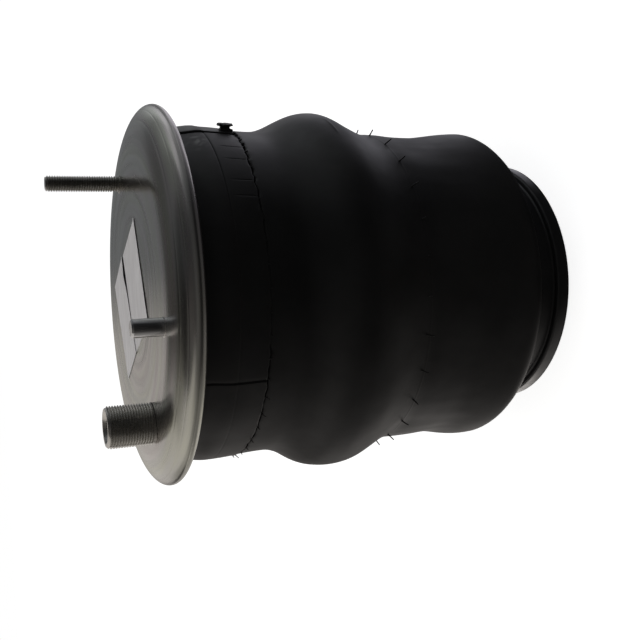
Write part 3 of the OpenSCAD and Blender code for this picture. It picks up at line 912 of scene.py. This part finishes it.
def studio_world():
    """White to the camera and in reflections, and a softer light on matte surfaces."""
    world = bpy.data.worlds.new("studio")
    bpy.context.scene.world = world
    made = Nodes(world)
    path = made.node("ShaderNodeLightPath")
    glossy = made.node("ShaderNodeMath", operation="MAXIMUM")
    clear = made.node("ShaderNodeMath", operation="MAXIMUM")
    soft = made.node("ShaderNodeBackground", Color=(1, 1, 1, 1), Strength=0.45)
    white = made.node("ShaderNodeBackground", Color=(1, 1, 1, 1), Strength=1.0)
    mix = made.node("ShaderNodeMixShader")
    out = made.node("ShaderNodeOutputWorld")
    made.link(path.outputs["Is Camera Ray"], glossy.inputs[0])
    made.link(path.outputs["Is Glossy Ray"], glossy.inputs[1])
    made.link(glossy.outputs["Value"], clear.inputs[0])
    made.link(path.outputs["Is Transmission Ray"], clear.inputs[1])
    made.link(clear.outputs["Value"], mix.inputs["Fac"])
    made.link(soft.outputs["Background"], mix.inputs[1])
    made.link(white.outputs["Background"], mix.inputs[2])
    made.link(mix.outputs["Shader"], out.inputs["Surface"])


def soft_box(name, at, aim, wide, high, watts, colour):
    """Lamp that shows neither to the camera nor in reflections."""
    lamp = bpy.data.lights.new(name, "AREA")
    lamp.shape = "RECTANGLE"
    lamp.size = wide
    lamp.size_y = high
    lamp.energy = watts
    lamp.color = colour
    obj = bpy.data.objects.new(name, lamp)
    bpy.context.scene.collection.objects.link(obj)
    obj.location = at
    obj.rotation_euler = (Vector(aim) - Vector(at)).to_track_quat("-Z", "Y").to_euler()
    obj.visible_camera = False
    obj.visible_glossy = False


def reflected_room():
    """Grey cards for metal and rubber to mirror: dark in front and overhead, pale behind and at -X."""
    cards = (
        ("ground_foot", BLUISH, [
            (-180, 2.2), (-160, 2.0), (-150, 1.5), (-142, 0.85), (-130, 0.70), (-118, 0.44),
            (-106, 0.15), (-98, 0.04), (-60, 0.02), (-46, 0.04), (-39, 0.12), (-31, 0.80), (-24, 1.1),
            (-10, 1.0), (20, 1.6), (180, 2.2)]),
        ("ground_wall", BLUISH, [
            (-180, 2.2), (-150, 2.2), (-138, 0.80), (-123, 0.30), (-108, 0.05), (-98, 0.02),
            (-60, 0.01), (-25, 0.03), (0, 0.30), (20, 1.0), (180, 2.2)]),
        ("ground_close", BLUISH, [
            (-180, 0.80), (-140, 0.50), (-120, 0.16), (-100, 0.03), (-60, 0.02), (-25, 0.04), (0, 0.30),
            (20, 0.60), (180, 0.80)]),
        ("ground_near", BLUISH, [
            (-180, 0.58), (-163, 0.40), (-150, 0.22), (-124, 0.18), (-95, 0.07), (-26, 0.05),
            (-12, 0.12), (2, 0.30), (12, 0.86), (26, 0.40), (40, 0.54), (150, 0.62), (166, 0.68),
            (180, 0.58)]),
        ("ground_far", BLUISH, [
            (-180, 0.20), (-150, 0.22), (-128, 0.04), (-100, 0.01), (-40, 0.01), (-20, 0.08),
            (-6, 0.17), (20, 0.32), (30, 0.75), (94, 0.50), (140, 0.46), (160, 0.40), (180, 0.20)]),
        ("ground_edge", COOL, [
            (-180, 0.40), (-150, 0.22), (-128, 0.04), (-100, 0.01), (-40, 0.01), (-20, 0.14), (0, 0.40),
            (20, 0.44), (34, 0.26), (45, 0.32), (94, 0.50), (120, 0.66), (130, 0.40), (150, 0.40),
            (165, 0.85), (180, 0.40)]),
        ("skirting", COOL, [
            (-180, 0.20), (-128, 0.03), (-40, 0.03), (-5, 0.20), (15, 0.30), (46, 0.16), (75, 0.18),
            (95, 0.40), (115, 0.40), (136, 0.05), (150, 0.05), (162, 0.30), (180, 0.20)]),
        ("wall_low", COOL, [
            (-180, 0.32), (-135, 0.09), (-95, 0.07), (-37, 0.05), (-18, 0.18), (0, 0.22), (12, 0.36),
            (26, 0.80), (42, 0.70), (55, 0.48), (66, 0.21), (87, 0.195), (93, 0.50), (112, 0.66),
            (126, 0.60), (140, 0.34), (152, 0.38), (162, 0.52), (180, 0.32)]),
        ("wall_high", COOL, [
            (-180, 0.60), (-140, 0.14), (-45, 0.05), (-20, 0.17), (4, 0.56), (20, 0.50), (34, 0.32),
            (50, 0.22), (65, 0.08), (92, 0.06), (98, 0.10), (106, 0.52), (125, 0.66), (160, 0.68),
            (180, 0.60)]),
        ("ceiling_edge", COOL, [
            (-180, 0.60), (-152, 0.46), (-120, 0.06), (-45, 0.04), (0, 0.10), (32, 0.17), (76, 0.09),
            (92, 0.05), (112, 0.12), (124, 0.32), (150, 0.60), (180, 0.60)]),
        ("ceiling_middle", COOL, [
            (-180, 0.10), (-140, 0.09), (-96, 0.06), (-41, 0.04), (8, 0.04), (24, 0.07), (94, 0.012),
            (130, 0.02), (180, 0.10)]),
    )
    for (name, cool, tones), start, end in zip(cards, ROOM, ROOM[1:]):
        surround_card(name, start, end, cool, tones)


def light_scene():
    studio_world()
    reflected_room()
    centre = (0, 0, 0.14)
    soft_box("box_cool", (1.25, 0.35, 0.5), centre, 0.9, 0.9, 6, (0.90, 0.95, 1.0))
    soft_box("box_warm", (-1.25, 0.35, 0.5), centre, 0.9, 0.9, 7, (1.0, 0.95, 0.88))


def camera():
    data = bpy.data.cameras.new("camera")
    data.lens = LENS
    data.sensor_width = SENSOR
    obj = bpy.data.objects.new("camera", data)
    bpy.context.scene.collection.objects.link(obj)
    right = CAMERA_FORWARD.cross(CAMERA_UP).normalized()
    up = right.cross(CAMERA_FORWARD)
    turn = Matrix((right, up, -CAMERA_FORWARD)).transposed()
    obj.matrix_world = Matrix.Translation(CAMERA_AT) @ turn.to_4x4()
    bpy.context.scene.camera = obj


def build():
    camera()
    sheet = zinc_sheet()
    thread = zinc_thread("zinc_thread", 0.56)
    # The mounting stud takes the same zinc finish in a darker tone.
    darker_thread = zinc_thread("zinc_thread_darker", 0.38)
    pin = steel("ground_steel", 0.58, 0.2)
    inner_steel = steel("inner_steel", 0.5, 0.35)
    wire = steel("bead_wire", 0.32, 0.45)
    skin = rubber("sleeve_rubber", 0.0042, 0.46)
    soft = rubber("bumper_rubber", 0.012, 0.6)
    seal = rubber("seal_rubber", 0.02, 0.5)
    black = moulding()
    paper = label_paper()

    bead_plate(sheet)
    combination_stud(thread)
    mounting_stud(darker_thread)
    pin_low, pin_high = centre_of("locating_pin")[1:]
    pin_r = (pin_high - pin_low).x / 2
    weld_fillet("locating_pin_weld", "locating_pin", pin_r - 0.1 * MM, 0.6 * MM, 0.35 * MM, thread)
    weld_fillet("mounting_stud_weld", "mounting_stud", 4.2 * MM, 1.7 * MM, 0.9 * MM, thread)
    sticker("label_under", Vector((-14.4, -38.5, 0)) * MM, 24.5, 66.8 * MM, 47 * MM,
            lift=0.1 * MM, layer=0.02 * MM, material=paper)
    sticker("label_over", Vector((26.8, 35.6, 0)) * MM, 209.2, 68.5 * MM, -37.6 * MM,
            lift=0.6 * MM, layer=0.16 * MM, material=paper)

    bellows_outer(skin)
    bellows_inner(skin)
    vent_nibs(skin)
    seam_flash(skin)
    flash_lump(skin)

    dress_nodes([
        (["locating_pin"], pin),
        (["upper_bead_wire", "lower_bead_wire"], wire),
        (["piston"], black),
        (["hub_bush", "mounting_inserts"], inner_steel),
        (["end_closure", "piston_bolt", "piston_washer", "lock_nut", "bumper_seat", "bumper_nut",
          "bumper_screw", "bumper_washer"], thread),
        (["bumper"], soft),
        (["bolt_seal"], seal),
    ])
    floor()
    light_scene()


build()
bpy.context.scene.view_settings.view_transform = "Standard"
